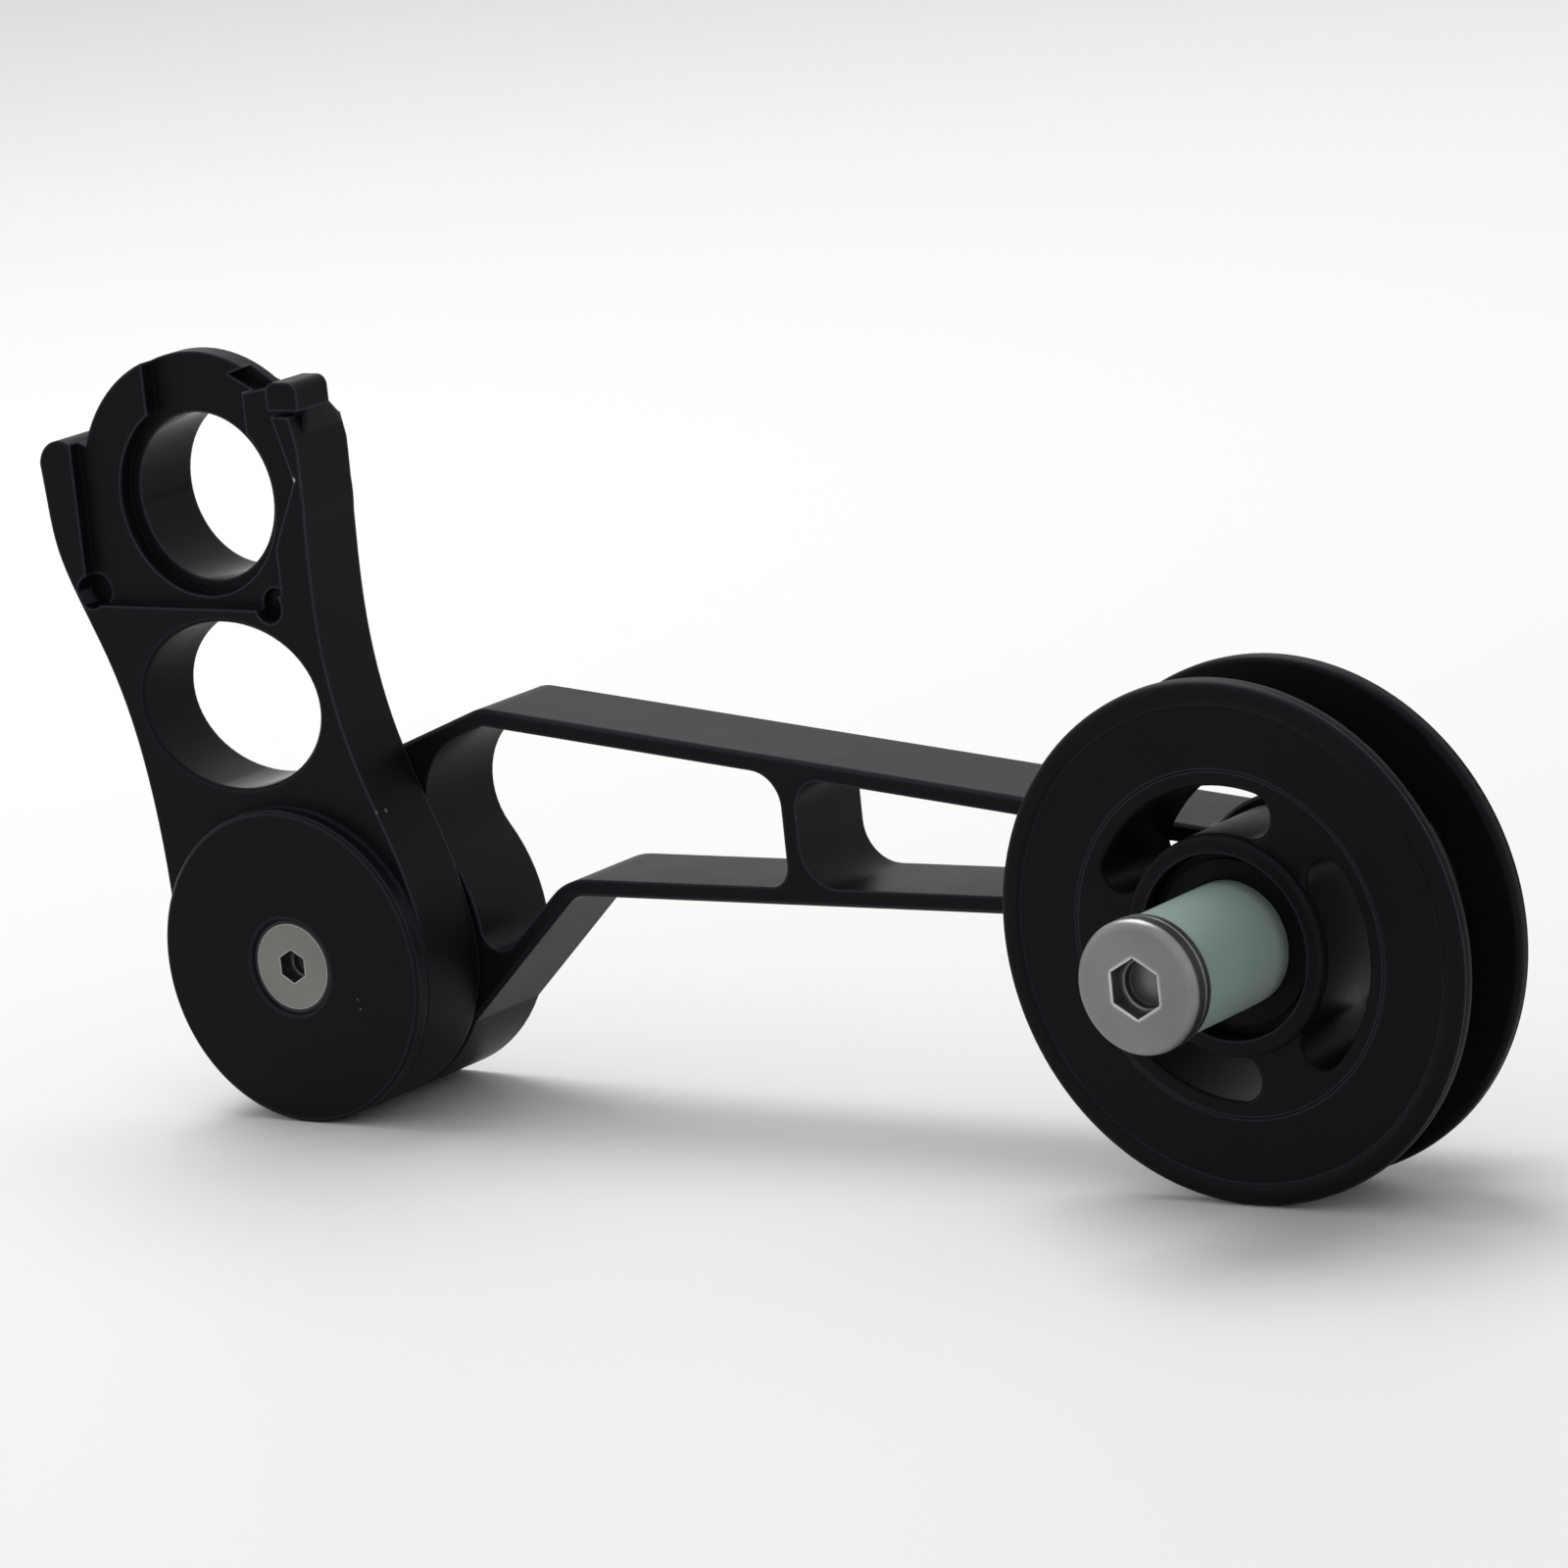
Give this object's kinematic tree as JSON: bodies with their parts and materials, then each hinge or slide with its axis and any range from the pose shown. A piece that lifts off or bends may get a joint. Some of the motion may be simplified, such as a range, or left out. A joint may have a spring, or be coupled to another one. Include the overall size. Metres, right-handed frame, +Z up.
{
  "type": "bicycle chain tensioner",
  "caption": "Sprung chain tensioner: axle hanger plate, swinging skeleton arm and a grooved toothless pulley that spins and floats on a sleeve.",
  "frame": {"origin": "on the axis of the hanger plate's axle eye, at the floor of the eye's counterbore", "axes": "+Z up, +X from the hanger plate towards the pulley, -Y towards the capped side"},
  "size_m": [0.1655, 0.0395, 0.0783],
  "materials": {
    "plate": "satin black anodised, machined",
    "cap": "satin black anodised, turned",
    "arm": "satin black anodised, machined",
    "steel_screw": "satin",
    "steel_axle": "ground",
    "steel_washer": "satin",
    "steel_bolt": "satin stainless",
    "spring_steel": "dark oiled",
    "bush": "plain bearing plastic",
    "sleeve": "satin pale green-grey",
    "liner": "satin black",
    "pulley": "satin black moulding",
    "flange": "satin black moulding"
  },
  "bodies": {
    "hanger": {"hanger_plate": "plate", "pivot_cap": "cap", "pivot_screw": "steel_screw", "pivot_axle": "steel_axle", "pivot_washer": "bush", "spring_guide": "bush", "torsion_spring": "spring_steel", "stop_pin": "steel_axle", "rear_washer": "steel_washer", "retaining_ring": "spring_steel"},
    "arm": {"tension_arm": "arm", "front_pivot_bush": "bush", "rear_pivot_bush": "bush", "pulley_bolt": "steel_bolt", "bolt_washer": "steel_washer", "pulley_sleeve": "sleeve"},
    "liner": {"pulley_liner": "liner", "liner_clip": "spring_steel"},
    "pulley": {"pulley_core": "pulley", "front_flange": "flange", "rear_flange": "flange"}
  },
  "joints": [
    {"name": "arm_swing", "type": "hinge", "parent": "hanger", "child": "arm", "pos_m": [0.0078, 0, -0.0473], "axis": [0, 1, 0], "range_deg": [0, 75], "stiffness_Nm_per_rad": 0.4, "springref_deg": -51.57, "deforming": ["torsion_spring"]},
    {"name": "pulley_slide", "type": "slide", "parent": "arm", "child": "liner", "axis": [0, -1, 0], "range_m": [0, 0.0138]},
    {"name": "pulley_spin", "type": "hinge", "parent": "liner", "child": "pulley", "pos_m": [0.12146, 0, -0.0385], "axis": [0, 1, 0], "continuous": true}
  ]
}
